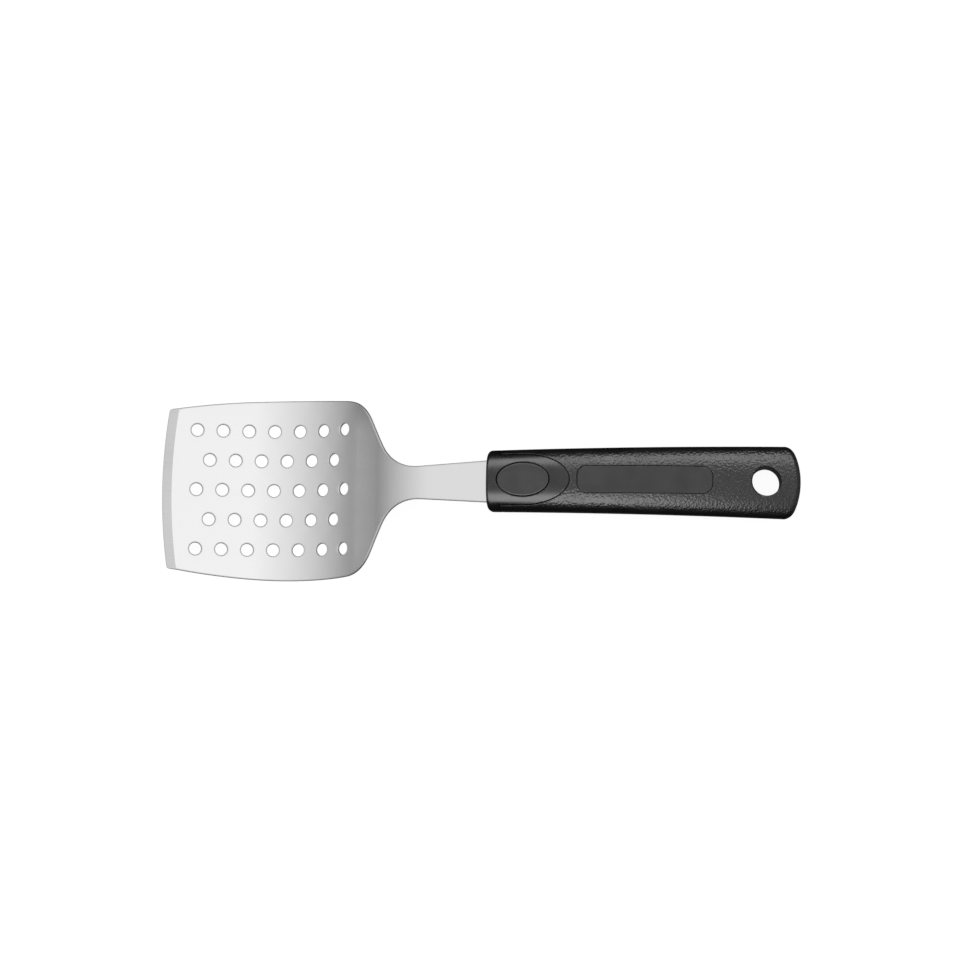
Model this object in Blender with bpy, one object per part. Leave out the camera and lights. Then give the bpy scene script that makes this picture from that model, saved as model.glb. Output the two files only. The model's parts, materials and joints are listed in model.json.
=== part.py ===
"""A perforated grill spatula: one bent steel stamping in a two-shot moulded handle.

Every piece is drawn in unrolled coordinates: s runs along the side profile from the
middle of the leading edge to the butt, w runs across towards +Y, and n stands off the
profile's mid surface. bend() then folds (s, w, n) into the spatula's own frame, and an
empty lays the whole spatula down the way it rests on a table, on its heel and its butt.
"""

import math

import bmesh
import bpy
from mathutils import Matrix, Vector

MM = 0.001
GAP = 0.3 * MM  # left between two pieces that touch

# Side profile: (length, slope at its end), from the leading edge to the butt
FLAT_SLOPE = math.radians(-8)
HEEL_SLOPE = math.radians(50)
NECK_SLOPE = math.radians(13)
FLAT_LENGTH = 37 * MM
HEEL_LENGTH = 50 * MM
RISE_LENGTH = 11 * MM
CRANK_LENGTH = 26 * MM
NECK_LENGTH = 25.1 * MM
HANDLE_LENGTH = 124.6 * MM
HANDLE_ARCH_RADIUS = 350 * MM
FRONT = FLAT_LENGTH + HEEL_LENGTH + RISE_LENGTH + CRANK_LENGTH + NECK_LENGTH
BUTT = FRONT + HANDLE_LENGTH
RUNS = (
    (FLAT_LENGTH, FLAT_SLOPE),
    (HEEL_LENGTH, HEEL_SLOPE),
    (RISE_LENGTH, HEEL_SLOPE),
    (CRANK_LENGTH, NECK_SLOPE),
    (NECK_LENGTH, NECK_SLOPE),
    (HANDLE_LENGTH, NECK_SLOPE - HANDLE_LENGTH / HANDLE_ARCH_RADIUS),
)

# Stamping
SHEET = 1.2 * MM
BLADE_HALF_WIDTH = 37.4 * MM
WIDEST_AT = 54 * MM
SIDE_RADIUS = 290 * MM
LEADING_HALF_WIDTH = 33 * MM
LEADING_RADIUS = 220 * MM
LEADING_CORNER = 1.5 * MM
GROUND_LENGTH = 3.8 * MM  # width of the ground strip along the leading edge
GROUND_EDGE = 0.35 * MM  # thickness left at the leading edge
SHOULDER_AT = (89.6 * MM, 35.2 * MM)
NECK_AT = (108.4 * MM, 6.0 * MM)
SHOULDER_FILLET = 20 * MM
SIDE_END = SHOULDER_AT[0] - 10 * MM  # where the shoulder starts to round off
NECK_END_HALF_WIDTH = 8.8 * MM
NECK_INSERT = 4 * MM  # how far the full width of the neck goes into the handle
TANG_HALF_WIDTH = 6.5 * MM
TANG_LENGTH = 62 * MM  # inside the handle
TANG_CORNER = 3 * MM

# Perforation: five staggered rows
HOLE_RADIUS = 2.65 * MM
HOLE_PITCH = 10.7 * MM
ROW_PITCH = 12.3 * MM
FIRST_HOLE = 14 * MM
HOLES_IN_ROW = (7, 6, 7, 6, 7)
HOLE_SIDES = 16

# Handle
HALF_WIDTH_FRONT = 12.3 * MM
HALF_WIDTH_BUTT = 14.6 * MM
HALF_HEIGHT_FRONT = 7.5 * MM
HALF_HEIGHT_BUTT = 5.5 * MM
SECTION_POWER = 2.8  # 2 is an ellipse, higher is squarer
SECTION_SIDES = 32
BUTT_RADIUS = 31 * MM  # of the butt's arc in plan
FRONT_CORNER = 1.8 * MM
FRONT_EDGE = 1.2 * MM
BUTT_CORNER = 2.8 * MM
BUTT_EDGE = 2.5 * MM
SKIN = 2 * MM
NOSE_LENGTH = 5 * MM

# Thumb rest and the smooth tongue around it
THUMB_AT = FRONT + 14.8 * MM
THUMB_HALF_LENGTH = 10.6 * MM
THUMB_HALF_WIDTH = 7.0 * MM
THUMB_SEAT_DEPTH = 2.4 * MM
THUMB_DISH_DEPTH = 0.5 * MM
THUMB_SINK = 0.15 * MM
TONGUE_HALF_LENGTH = 18.3 * MM
TONGUE_HALF_WIDTH = 10.1 * MM
TONGUE_BASE = 3 * MM  # height above the mid surface where the tongue's walls start

# Label plate
LABEL_AT = FRONT + 62.8 * MM
LABEL_HALF_LENGTH = 26.6 * MM
LABEL_HALF_WIDTH = 5.5 * MM
LABEL_CORNER = 4 * MM
LABEL_RECESS = 1.25 * MM
LABEL_THICKNESS = 0.55 * MM

# Hanging hole and lock pins
HANG_AT = FRONT + 111.1 * MM
HANG_RADIUS = 5.75 * MM
PINS_AT = (FRONT + 37 * MM, FRONT + 55 * MM)
PIN_RADIUS = 2 * MM
PIN_HALF_LENGTH = 4 * MM

BIG = 30 * MM  # reach of a cutter past the piece that it cuts

# How many steps a curve is drawn in
LEADING_STEPS = 14
SIDE_STEPS = 9
HEEL_STEPS = 12
CRANK_STEPS = 8
TANG_STEPS = 6
HANDLE_STEPS = 14
END_STEPS = 4
TONGUE_STEPS = 20
ROUND_STEPS = 32
THUMB_STEPS = 40
DISH_STEPS = 4
LABEL_STEPS = 8


def profile(s):
    """Position (x, z) and slope of the side profile at length s."""
    x = z = 0.0
    slope = FLAT_SLOPE
    for length, end_slope in RUNS:
        last = (length, end_slope) == RUNS[-1]
        step = s if last else min(s, length)
        half_turn = (end_slope - slope) * step / length / 2
        chord = step * math.sin(half_turn) / half_turn if half_turn else step
        x += chord * math.cos(slope + half_turn)
        z += chord * math.sin(slope + half_turn)
        slope += 2 * half_turn
        s -= step
        if s == 0:
            break
    return x, z, slope


def bend(s, w, n):
    """Fold an unrolled point onto the side profile."""
    x, z, slope = profile(s)
    return Vector((x - n * math.sin(slope), w, z + n * math.cos(slope)))


def fillet(corners, step=math.radians(12)):
    """Closed outline through (s, w, radius) corners, each rounded to its radius."""
    points = []
    for i, (s, w, radius) in enumerate(corners):
        here = Vector((s, w))
        if radius == 0:
            points.append(here)
            continue
        before = (Vector(corners[i - 1][:2]) - here).normalized()
        after = (Vector(corners[(i + 1) % len(corners)][:2]) - here).normalized()
        half_angle = before.angle(after) / 2
        centre = here + (before + after).normalized() * radius / math.sin(half_angle)
        reach = radius / math.tan(half_angle)
        first = here + before * reach - centre
        turn = first.angle_signed(here + after * reach - centre)
        count = max(2, math.ceil(abs(turn) / step))
        for k in range(count + 1):
            points.append(centre + Matrix.Rotation(-turn * k / count, 2) @ first)
    return points


def ellipse(s, half_length, half_width, sides, start=0.0, end=2 * math.pi):
    """Points of an ellipse centred on the centre line; a whole one leaves out its last point."""
    whole = end - start > 1.99 * math.pi
    count = sides if whole else sides + 1
    turns = (start + (end - start) * k / sides for k in range(count))
    return [Vector((s + half_length * math.cos(a), half_width * math.sin(a))) for a in turns]


def mesh_object(name, bm, parent):
    """Finish a bmesh into an object shaded smooth up to its sharp edges."""
    bmesh.ops.recalc_face_normals(bm, faces=bm.faces)
    mesh = bpy.data.meshes.new(name)
    bm.to_mesh(mesh)
    bm.free()
    mesh.shade_smooth()
    mesh.set_sharp_from_angle(angle=math.radians(30))
    piece = bpy.data.objects.new(name, mesh)
    piece.parent = parent
    bpy.context.scene.collection.objects.link(piece)
    return piece


def bent_plate(name, regions, low, high, cuts, parent):
    """A plate from flat regions (an outline, then its holes), cut across and bent.

    low and high give the n of its two faces at a point (s, w)."""
    bm = bmesh.new()
    for loops in regions:
        edges = []
        for loop in loops:
            verts = [bm.verts.new((s, w, 0)) for s, w in loop]
            edges += [bm.edges.new(ends) for ends in zip(verts, verts[1:] + verts[:1])]
        bmesh.ops.triangle_fill(bm, use_beauty=True, edges=edges)
    bmesh.ops.remove_doubles(bm, verts=bm.verts, dist=0.001 * MM)
    for s in cuts:
        geometry = bm.verts[:] + bm.edges[:] + bm.faces[:]
        bmesh.ops.bisect_plane(bm, geom=geometry, plane_co=(s, 0, 0), plane_no=(1, 0, 0), dist=0.001 * MM)
    lower = bm.verts[:]
    grown = bmesh.ops.extrude_face_region(bm, geom=bm.faces[:])["geom"]
    upper = [v for v in grown if isinstance(v, bmesh.types.BMVert)]
    for verts, height in ((lower, low), (upper, high)):
        for v in verts:
            s, w, _ = v.co
            v.co = bend(s, w, height(s, w))
    return mesh_object(name, bm, parent)


def spaced(start, end, count):
    """count steps from start to end, both ends included."""
    return [start + (end - start) * k / count for k in range(count + 1)]


def leading_edge(w):
    return w * w / (2 * LEADING_RADIUS)


def side_width(s):
    return BLADE_HALF_WIDTH - (s - WIDEST_AT) ** 2 / (2 * SIDE_RADIUS)


def mirrored(points):
    return [(p[0], -p[1], *p[2:]) for p in reversed(points)]


def stamping(parent):
    """Blade, cranked neck and tang in one piece of sheet, with a ground leading edge."""
    ground_end = leading_edge(LEADING_HALF_WIDTH) + GROUND_LENGTH
    ground_width = side_width(ground_end)
    ground_line = [
        (leading_edge(w) + GROUND_LENGTH, w) for w in spaced(-ground_width, ground_width, LEADING_STEPS)
    ]
    edge_half = LEADING_HALF_WIDTH - 2 * LEADING_CORNER
    edge_line = [(leading_edge(w), w, 0) for w in spaced(-edge_half, edge_half, LEADING_STEPS)]
    corner = (leading_edge(LEADING_HALF_WIDTH), LEADING_HALF_WIDTH, LEADING_CORNER)
    strip = edge_line + [corner] + [(*p, 0) for p in reversed(ground_line)] + mirrored([corner])

    side = [(s, side_width(s), 0) for s in spaced(ground_line[-1][0], SIDE_END, SIDE_STEPS)[1:]]
    half = side + [
        (*SHOULDER_AT, SHOULDER_FILLET),
        (*NECK_AT, SHOULDER_FILLET),
        (FRONT + NECK_INSERT, NECK_END_HALF_WIDTH, 0),
        (FRONT + NECK_INSERT, TANG_HALF_WIDTH, 0),
        (FRONT + TANG_LENGTH, TANG_HALF_WIDTH, TANG_CORNER),
    ]
    body = [(*p, 0) for p in ground_line] + half + mirrored(half)

    holes = []
    for row, count in enumerate(HOLES_IN_ROW):
        w = (2 - row) * ROW_PITCH
        start = FIRST_HOLE + (row % 2) * HOLE_PITCH / 2
        for k in range(count):
            ring = ellipse(start + k * HOLE_PITCH, HOLE_RADIUS, HOLE_RADIUS, HOLE_SIDES)
            holes.append([p + Vector((0, w)) for p in ring])
    holes += [ellipse(s, PIN_RADIUS + GAP, PIN_RADIUS + GAP, HOLE_SIDES) for s in PINS_AT]

    def top(s, w):
        kept = min(1, max(0, (s - leading_edge(w)) / GROUND_LENGTH))
        return GROUND_EDGE + (SHEET - GROUND_EDGE) * kept - SHEET / 2

    heel = spaced(FLAT_LENGTH, FLAT_LENGTH + HEEL_LENGTH, HEEL_STEPS)
    crank_start = FLAT_LENGTH + HEEL_LENGTH + RISE_LENGTH
    crank = spaced(crank_start, crank_start + CRANK_LENGTH, CRANK_STEPS)
    tang = spaced(FRONT, FRONT + TANG_LENGTH, TANG_STEPS)[:-1]
    regions = ([fillet(strip)], [fillet(body)] + holes)
    return bent_plate("blade", regions, lambda s, w: -SHEET / 2, top, heel + crank + tang, parent)


def half_width(s):
    return HALF_WIDTH_FRONT + (HALF_WIDTH_BUTT - HALF_WIDTH_FRONT) * (s - FRONT) / HANDLE_LENGTH


def half_height(s):
    return HALF_HEIGHT_FRONT + (HALF_HEIGHT_BUTT - HALF_HEIGHT_FRONT) * (s - FRONT) / HANDLE_LENGTH


def crown(s, w):
    """Height of the handle's upper surface at a point."""
    share = min(1, abs(w) / half_width(s))
    return half_height(s) * (1 - share**SECTION_POWER) ** (1 / SECTION_POWER)


def rounding(depth, radius):
    """How far a rounded end has drawn in at a depth below its end."""
    return radius - math.sqrt(radius**2 - max(0, radius - depth) ** 2)


def end_depths(radius):
    """Depths below a rounded end, closer together towards it."""
    return [radius * (1 - math.cos(share * math.pi / 2)) for share in spaced(0, 1, END_STEPS)]


def section(s, width, height, bulge):
    """One ring of the handle; bulge is the curvature in plan that it is wrapped to."""
    ring = []
    for k in range(SECTION_SIDES):
        a = 2 * math.pi * k / SECTION_SIDES
        w = width * math.copysign(abs(math.cos(a)) ** (2 / SECTION_POWER), math.cos(a))
        n = height * math.copysign(abs(math.sin(a)) ** (2 / SECTION_POWER), math.sin(a))
        ring.append(bend(s - bulge * w * w / 2, w, n))
    return ring


def handle_form(name, inset, parent):
    """The handle's outer shape, drawn in all round by inset but not at its front."""
    butt = BUTT - inset
    rings = []
    for depth in end_depths(FRONT_CORNER):
        drawn_in = (rounding(depth, FRONT_CORNER), rounding(depth, FRONT_EDGE))
        rings.append((FRONT + depth, (0, 0) if inset else drawn_in, 0))
    for s in spaced(FRONT + FRONT_CORNER, butt - BUTT_CORNER, HANDLE_STEPS)[1:]:
        rings.append((s, (0, 0), ((s - FRONT) / (butt - FRONT)) ** 3 / BUTT_RADIUS))
    for depth in reversed(end_depths(BUTT_CORNER)[:-1]):
        drawn_in = (rounding(depth, BUTT_CORNER), rounding(depth, BUTT_EDGE))
        rings.append((butt - depth, drawn_in, 1 / BUTT_RADIUS))

    bm = bmesh.new()
    loops = []
    for s, (narrower, flatter), bulge in rings:
        points = section(s, half_width(s) - inset - narrower, half_height(s) - inset - flatter, bulge)
        loops.append([bm.verts.new(p) for p in points])
    for one, two in zip(loops, loops[1:]):
        for k in range(SECTION_SIDES):
            following = (k + 1) % SECTION_SIDES
            bm.faces.new((one[k], one[following], two[following], two[k]))
    bm.faces.new(loops[0])
    middle = bm.verts.new(bend(butt, 0, 0))
    for k in range(SECTION_SIDES):
        bm.faces.new((loops[-1][k], loops[-1][(k + 1) % SECTION_SIDES], middle))
    return mesh_object(name, bm, parent)


def as_cutter(piece):
    piece.hide_render = True
    piece.display_type = "WIRE"
    return piece


def combine(piece, operation, other):
    """Add a Boolean modifier that keeps the exact solver."""
    modifier = piece.modifiers.new(other.name, "BOOLEAN")
    modifier.operation = operation
    modifier.object = other
    modifier.solver = "EXACT"


def column(name, outline, low, high, parent, cuts=()):
    """A cutter: a plan outline carried from one height to another."""
    plate = bent_plate(name, ([outline],), lambda s, w: low, lambda s, w: high, cuts, parent)
    return as_cutter(plate)


def round_cutter(name, s, radius, half_length, lean, parent):
    """A cylinder across the handle at s; lean turns it about Y from the profile's normal."""
    return as_cutter(cylinder(name, s, radius, half_length, lean, parent))


def cylinder(name, s, radius, half_length, lean, parent):
    bm = bmesh.new()
    bmesh.ops.create_cone(
        bm, cap_ends=True, segments=ROUND_STEPS, radius1=radius, radius2=radius, depth=2 * half_length
    )
    piece = mesh_object(name, bm, parent)
    piece.location = bend(s, 0, 0)
    piece.rotation_euler = (0, lean - profile(s)[2], 0)
    return piece


def tongue_outline(grow):
    """From past the front face, straight along both sides and round behind the thumb rest."""
    length = TONGUE_HALF_LENGTH + grow
    width = TONGUE_HALF_WIDTH + grow
    back = ellipse(THUMB_AT, length, width, TONGUE_STEPS, -math.pi / 2, math.pi / 2)
    return [Vector((FRONT - BIG, -width))] + back + [Vector((FRONT - BIG, width))]


def core_envelope(name, grow, parent):
    """What the hard core fills: the inside of the handle, its nose, and the tongue on top."""
    inset = SKIN + GAP - grow
    envelope = as_cutter(handle_form(name, inset, parent))
    nose_side = [Vector((s, -BIG)) for s in (FRONT - BIG, FRONT + NOSE_LENGTH + grow)]
    nose = nose_side + mirrored(nose_side)
    combine(envelope, "UNION", column(f"{name}_nose", nose, -BIG, BIG, parent))
    tongue = column(f"{name}_tongue", tongue_outline(grow), TONGUE_BASE - grow, BIG, parent)
    combine(envelope, "UNION", tongue)
    lining = round_cutter(f"{name}_lining", HANG_AT, HANG_RADIUS + inset, BIG, hang_lean(), parent)
    combine(envelope, "DIFFERENCE", lining)
    return envelope


def hang_lean():
    """The hanging hole is drawn straight up, not square to the arch."""
    return profile(HANG_AT)[2]


def handle_core(parent):
    """Hard moulding on the tang: nose, tongue, and the inside of the grip."""
    core = handle_form("handle_core", 0, parent)
    combine(core, "INTERSECT", core_envelope("core_envelope", 0, parent))
    mouth = NECK_END_HALF_WIDTH + GAP
    slot_width = TANG_HALF_WIDTH + GAP
    half = [
        (FRONT - NOSE_LENGTH, mouth),
        (FRONT + NECK_INSERT + GAP, mouth),
        (FRONT + NECK_INSERT + GAP, slot_width),
        (FRONT + TANG_LENGTH + GAP, slot_width),
    ]
    slot = [Vector(p) for p in half + mirrored(half)]
    half_slot = SHEET / 2 + GAP
    cuts = spaced(FRONT, FRONT + TANG_LENGTH, TANG_STEPS)[1:-1]
    combine(core, "DIFFERENCE", column("tang_slot", slot, -half_slot, half_slot, parent, cuts))
    seat = ellipse(THUMB_AT, THUMB_HALF_LENGTH, THUMB_HALF_WIDTH, THUMB_STEPS)
    floor = HALF_HEIGHT_FRONT - THUMB_SEAT_DEPTH - GAP
    combine(core, "DIFFERENCE", column("thumb_seat", seat, floor, BIG, parent))
    for number, s in enumerate(PINS_AT):
        hole = round_cutter(f"pin_hole_{number}", s, PIN_RADIUS + GAP, BIG, 0, parent)
        combine(core, "DIFFERENCE", hole)
    return core


def grip_skin(parent):
    """Softer second shot round the core, lining the hanging hole."""
    skin = handle_form("grip_skin", 0, parent)
    combine(skin, "DIFFERENCE", core_envelope("skin_cavity", GAP, parent))
    combine(skin, "DIFFERENCE", round_cutter("hang_hole", HANG_AT, HANG_RADIUS, BIG, hang_lean(), parent))
    recess = bent_plate(
        "label_recess",
        ([label_outline(0)],),
        lambda s, w: half_height(s) - LABEL_RECESS,
        lambda s, w: BIG,
        label_cuts(),
        parent,
    )
    combine(skin, "DIFFERENCE", as_cutter(recess))
    return skin


def label_outline(shrink):
    length = LABEL_HALF_LENGTH - shrink
    width = LABEL_HALF_WIDTH - shrink
    radius = LABEL_CORNER - shrink
    corners = ((-1, -1), (1, -1), (1, 1), (-1, 1))
    return fillet([(LABEL_AT + a * length, b * width, radius) for a, b in corners], math.radians(18))


def label_cuts():
    return spaced(LABEL_AT - LABEL_HALF_LENGTH, LABEL_AT + LABEL_HALF_LENGTH, LABEL_STEPS)[1:-1]


def label_plate(parent):
    """Blank smooth plate let into the grip's upper face."""
    floor = LABEL_RECESS - GAP
    return bent_plate(
        "label_plate",
        ([label_outline(GAP)],),
        lambda s, w: half_height(s) - floor,
        lambda s, w: half_height(s) - floor + LABEL_THICKNESS,
        label_cuts(),
        parent,
    )


def thumb_pad(parent):
    """Oval pad in the tongue, dished for the thumb, its rim following the crown."""
    length = THUMB_HALF_LENGTH - GAP
    width = THUMB_HALF_WIDTH - GAP
    bottom = HALF_HEIGHT_FRONT - THUMB_SEAT_DEPTH
    bm = bmesh.new()

    def ring(share, height):
        points = ellipse(THUMB_AT, length * share, width * share, THUMB_STEPS)
        return [bm.verts.new(bend(s, w, height(s, w, share))) for s, w in points]

    def dish(s, w, share):
        return crown(s, w) - THUMB_SINK - THUMB_DISH_DEPTH * (1 - share**2)

    loops = [ring(1, lambda s, w, share: bottom)]
    loops += [ring(share, dish) for share in spaced(1, 0, DISH_STEPS)[:-1]]
    for one, two in zip(loops, loops[1:]):
        for k in range(THUMB_STEPS):
            following = (k + 1) % THUMB_STEPS
            bm.faces.new((one[k], one[following], two[following], two[k]))
    for loop, middle_n in ((loops[0], bottom), (loops[-1], dish(THUMB_AT, 0, 0))):
        middle = bm.verts.new(bend(THUMB_AT, 0, middle_n))
        for k in range(THUMB_STEPS):
            bm.faces.new((loop[k], loop[(k + 1) % THUMB_STEPS], middle))
    return mesh_object("thumb_pad", bm, parent)


def lock_pins(parent):
    """Two pins through core and tang, covered by the grip."""
    names = ("tang_pin_front", "tang_pin_rear")
    return [cylinder(name, s, PIN_RADIUS, PIN_HALF_LENGTH, 0, parent) for name, s in zip(names, PINS_AT)]


def lie_down(root, blade, handle):
    """Turn and shift the root so that heel and butt touch z = 0, centred over the origin."""

    def lowest(piece, turn):
        return min((turn @ v.co).z for v in piece.data.vertices)

    low, high = 0.0, math.radians(40)
    for _ in range(50):
        pitch = (low + high) / 2
        turn = Matrix.Rotation(pitch, 3, "Y")
        if lowest(handle, turn) > lowest(blade, turn):
            low = pitch
        else:
            high = pitch
    points = [turn @ v.co for piece in (blade, handle) for v in piece.data.vertices]
    xs = [p.x for p in points]
    root.rotation_euler = (0, pitch, 0)
    root.location = (-(min(xs) + max(xs)) / 2, 0, -min(p.z for p in points))


def material(name, color, metallic, roughness):
    made = bpy.data.materials.new(name)
    made.use_nodes = True
    shader = made.node_tree.nodes["Principled BSDF"]
    shader.inputs["Base Color"].default_value = (*color, 1)
    shader.inputs["Metallic"].default_value = metallic
    shader.inputs["Roughness"].default_value = roughness
    return made


def main():
    for existing in list(bpy.data.objects):
        bpy.data.objects.remove(existing)
    root = bpy.data.objects.new("spatula", None)
    bpy.context.scene.collection.objects.link(root)

    steel = material("satin_steel", (0.62, 0.62, 0.61), 1.0, 0.35)
    pin_steel = material("pin_steel", (0.55, 0.55, 0.54), 1.0, 0.3)
    hard = material("hard_black_plastic", (0.02, 0.02, 0.021), 0.0, 0.4)
    soft = material("grained_black_grip", (0.018, 0.018, 0.018), 0.0, 0.5)
    pad = material("smooth_black_pad", (0.022, 0.022, 0.023), 0.0, 0.45)
    plate = material("satin_black_plate", (0.03, 0.03, 0.031), 0.0, 0.35)

    blade = stamping(root)
    skin = grip_skin(root)
    finishes = [(blade, steel), (skin, soft), (handle_core(root), hard)]
    finishes += [(thumb_pad(root), pad), (label_plate(root), plate)]
    finishes += [(pin, pin_steel) for pin in lock_pins(root)]
    for piece, finish in finishes:
        piece.data.materials.append(finish)
    lie_down(root, blade, skin)


main()
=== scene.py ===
"""Looks for the grill spatula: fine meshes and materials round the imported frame.

Lengths are metres. The pieces are drawn in unrolled coordinates, as in the CAD source:
s runs along the side profile from the leading edge to the butt, w runs across towards +Y,
and n stands off the profile's mid surface. bend() folds them and SEATED lays them down.
"""

import json
import math

import bmesh
import bpy
from mathutils import Matrix, Vector


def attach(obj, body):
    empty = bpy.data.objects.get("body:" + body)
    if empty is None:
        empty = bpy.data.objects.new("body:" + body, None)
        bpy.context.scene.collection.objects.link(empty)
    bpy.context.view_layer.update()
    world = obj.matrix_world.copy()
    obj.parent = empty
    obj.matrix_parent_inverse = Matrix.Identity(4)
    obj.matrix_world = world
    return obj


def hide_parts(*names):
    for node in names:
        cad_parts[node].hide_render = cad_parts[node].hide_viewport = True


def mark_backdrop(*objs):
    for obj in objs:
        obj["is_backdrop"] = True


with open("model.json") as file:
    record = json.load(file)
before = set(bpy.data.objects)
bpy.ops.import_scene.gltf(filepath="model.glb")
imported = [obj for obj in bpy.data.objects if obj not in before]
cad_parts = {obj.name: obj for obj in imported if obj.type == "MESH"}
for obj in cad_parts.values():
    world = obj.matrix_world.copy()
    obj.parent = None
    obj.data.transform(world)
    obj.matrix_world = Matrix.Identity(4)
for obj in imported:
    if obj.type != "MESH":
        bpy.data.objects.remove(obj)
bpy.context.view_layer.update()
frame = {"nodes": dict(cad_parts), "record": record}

MM = 0.001
GAP = 0.3 * MM

# Side profile: (length, slope at its end)
FLAT_SLOPE = math.radians(-8)
HEEL_SLOPE = math.radians(50)
NECK_SLOPE = math.radians(13)
FLAT_LENGTH = 37 * MM
HEEL_LENGTH = 50 * MM
RISE_LENGTH = 11 * MM
CRANK_LENGTH = 26 * MM
NECK_LENGTH = 25.1 * MM
HANDLE_LENGTH = 124.6 * MM
HANDLE_ARCH_RADIUS = 350 * MM
CRANK_START = FLAT_LENGTH + HEEL_LENGTH + RISE_LENGTH
FRONT = CRANK_START + CRANK_LENGTH + NECK_LENGTH
BUTT = FRONT + HANDLE_LENGTH
RUNS = (
    (FLAT_LENGTH, FLAT_SLOPE),
    (HEEL_LENGTH, HEEL_SLOPE),
    (RISE_LENGTH, HEEL_SLOPE),
    (CRANK_LENGTH, NECK_SLOPE),
    (NECK_LENGTH, NECK_SLOPE),
    (HANDLE_LENGTH, NECK_SLOPE - HANDLE_LENGTH / HANDLE_ARCH_RADIUS),
)

# Stamping
SHEET = 1.2 * MM
BLADE_HALF_WIDTH = 37.4 * MM
WIDEST_AT = 54 * MM
SIDE_RADIUS = 290 * MM
LEADING_HALF_WIDTH = 33 * MM
LEADING_RADIUS = 220 * MM
LEADING_CORNER = 1.5 * MM
GROUND_LENGTH = 3.8 * MM
GROUND_EDGE = 0.35 * MM
SHOULDER_AT = (89.6 * MM, 35.2 * MM)
NECK_AT = (108.4 * MM, 6.0 * MM)
SHOULDER_FILLET = 20 * MM
NECK_END_HALF_WIDTH = 8.8 * MM
NECK_INSERT = 4 * MM
TANG_HALF_WIDTH = 6.5 * MM
TANG_LENGTH = 62 * MM
TANG_CORNER = 3 * MM
ROLLED_EDGE = 0.55 * MM  # rounding of the sheet's upper edges, outline and holes alike
LOWER_EDGE = 0.12 * MM
SIDE_CURVE_STOP = 10 * MM  # the side's curve ends this far in front of the shoulder
NECK_END_CORNER = 0.6 * MM
EDGE_STEPS = 40
SIDE_STEPS = 30
HEEL_STEPS = 32
CRANK_STEPS = 20
TANG_STEPS = 12
ROLL_STEPS = 4

# Perforation
HOLE_RADIUS = 2.5 * MM
HOLE_PITCH = 10.7 * MM
ROW_PITCH = 12.3 * MM
FIRST_HOLE = 14 * MM
HOLES_IN_ROW = (7, 6, 7, 6, 7)
HOLE_SIDES = 40

# Handle
HALF_WIDTH_FRONT = 12.3 * MM
HALF_WIDTH_BUTT = 14.6 * MM
HALF_HEIGHT_FRONT = 7.5 * MM
HALF_HEIGHT_BUTT = 5.5 * MM
SECTION_POWER = 2.8
SECTION_SIDES = 96
BUTT_RADIUS = 31 * MM
FRONT_CORNER = 1.8 * MM
FRONT_EDGE = 1.2 * MM
BUTT_CORNER = 2.8 * MM
BUTT_EDGE = 2.5 * MM
SKIN = 2 * MM
NOSE_LENGTH = 5 * MM
SOFT_EDGE = 0.16 * MM  # rounding of the edges where the handle's pieces meet
PAD_EDGE = 0.28 * MM
LABEL_EDGE = 0.35 * MM
LABEL_GAP = 0.12 * MM
FRONT_STEPS = 8
HANDLE_STEPS = 80
BUTT_STEPS = 10
RIM_STEPS = 4
# Groove between nose and skin: (offset, depth) of its rings, both in soft edges
GROOVE = ((-2, 0), (-1.3, 0.35), (-0.7, 1), (0.7, 1), (1.3, 0.35), (2, 0))

THUMB_AT = FRONT + 14.8 * MM
THUMB_HALF_LENGTH = 10.6 * MM
THUMB_HALF_WIDTH = 7.0 * MM
THUMB_SEAT_DEPTH = 2.4 * MM
THUMB_DISH_DEPTH = 0.5 * MM
THUMB_SINK = 0.15 * MM
THUMB_DISH_POWER = 1.2
THUMB_RINGS = 18
THUMB_SIDES = 96
TONGUE_HALF_LENGTH = 18.3 * MM
TONGUE_HALF_WIDTH = 10.1 * MM
TONGUE_BASE = 3 * MM
TONGUE_LEAD = 8 * MM  # how far its cutter starts in front of the handle
TONGUE_SIDES = 64
TONGUE_STEPS = 12

LABEL_AT = FRONT + 62.8 * MM
LABEL_HALF_LENGTH = 26.6 * MM
LABEL_HALF_WIDTH = 5.5 * MM
LABEL_CORNER = 4 * MM
LABEL_RECESS = 1.25 * MM
LABEL_THICKNESS = 0.55 * MM
LABEL_CORNER_STEP = math.radians(7.6)
LABEL_STEPS = 24
LABEL_INSETS = (1.0 * MM, 2.2 * MM, 3.4 * MM)  # rings across the plate's flat top

HANG_AT = FRONT + 111.1 * MM
HANG_RADIUS = 5.75 * MM
HANG_ROUNDING = 0.6 * MM
PINS_AT = (FRONT + 37 * MM, FRONT + 55 * MM)
PIN_RADIUS = 2 * MM
SLOT_STEPS = 8

# Cutters: they carry on past the rounding that they leave, by these shares of its radius
PAST_OUT = 1.5
PAST_UP = 0.3
BORE_PAST_UP = 0.4
BIG = 30 * MM  # well clear of the handle
CUTTER_TOP = 6 * MM  # above the crown
BORE_SIDES = 64
BORE_RIM_STEPS = 5

# Tolerances
SAME = 1e-7
SHARPEST_MITRE = 0.5  # cosine that limits how far a drawn-in corner is stretched
BISECT_WITHIN = 0.002 * MM
DEGENERATE_WITHIN = 0.005 * MM
MERGE_WITHIN = 0.01 * MM

# Camera, in the frame that SEATED lays down: straight above but for a small tilt and roll
VIEW_TARGET = Vector((130.9, -0.1, 45)) * MM
VIEW_TILT = math.radians(6.5)
VIEW_ROLL = math.radians(-0.7)
VIEW_DISTANCE = 1.5
VIEW_WIDTH = 0.384  # what the view spans across at the target

# Stage: (radius, height) of the sweep's rings
SWEEP_RINGS = ((1.2, 0), (1.6, 0.03), (1.9, 0.15), (2.1, 0.45), (2.15, 1.0), (2.15, 3.0))
SWEEP_SIDES = 96
TABLE_GREY = 0.3
TABLE_GLOW = 0.91

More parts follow.
